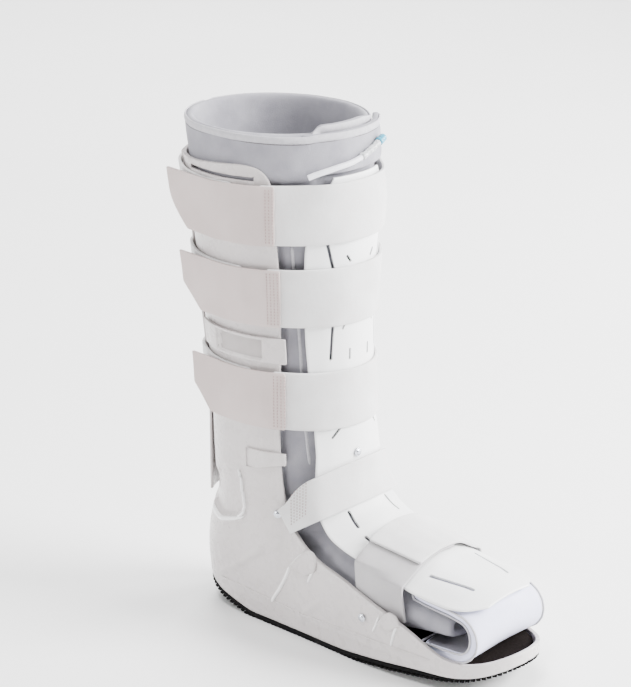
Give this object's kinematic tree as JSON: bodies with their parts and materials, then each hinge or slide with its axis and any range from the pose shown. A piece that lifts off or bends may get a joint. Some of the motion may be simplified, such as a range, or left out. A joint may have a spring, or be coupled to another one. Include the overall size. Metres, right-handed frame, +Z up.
{
  "type": "walking boot",
  "caption": "Tall walking boot with moulded rear shell, padded liner, front panel, rocker sole, webbing straps and an inflation tube at the collar.",
  "frame": {"origin": "on the floor, on the flat of the sole below the axis of the leg", "axes": "+Z up along the leg, -Y towards the toes, -X the outer side of the foot (a right boot)"},
  "size_m": [0.1683, 0.3558, 0.4423],
  "materials": {
    "moulded shell": "satin moulded",
    "flexible panel": "satin flexible sheet",
    "padded fabric": "soft brushed knit over foam",
    "strap webbing": "brushed loop tape",
    "hook tab": "sewn hook tape",
    "black rubber": "matte tread",
    "insole felt": "felt",
    "bright metal": "polished",
    "clear connector": "translucent moulded",
    "blue cap": "moulded"
  },
  "bodies": {
    "root": {"liner": "padded fabric", "rear_shell": "moulded shell", "outsole": "black rubber", "insole": "insole felt", "rear_plate": "moulded shell", "front_panel": "flexible panel", "toe_flap": "padded fabric", "collar_flap": "padded fabric", "strap_top": "strap webbing", "tab_top": "hook tab", "strap_middle": "strap webbing", "tab_middle": "hook tab", "strap_low": "strap webbing", "tab_low": "hook tab", "ankle_strap": "strap webbing", "ankle_anchor": "strap webbing", "toe_strap_base": "strap webbing", "toe_strap": "strap webbing", "side_keeper_near": "moulded shell", "side_keeper_far": "moulded shell", "low_keeper_near": "moulded shell", "low_keeper_far": "moulded shell", "rivet_ankle_near": "bright metal", "rivet_ankle_far": "bright metal", "rivet_toe_near": "bright metal", "rivet_toe_far": "bright metal", "rivet_front": "bright metal", "air_tube": "padded fabric", "tube_connector": "clear connector", "tube_cap": "blue cap"}
  },
  "joints": []
}
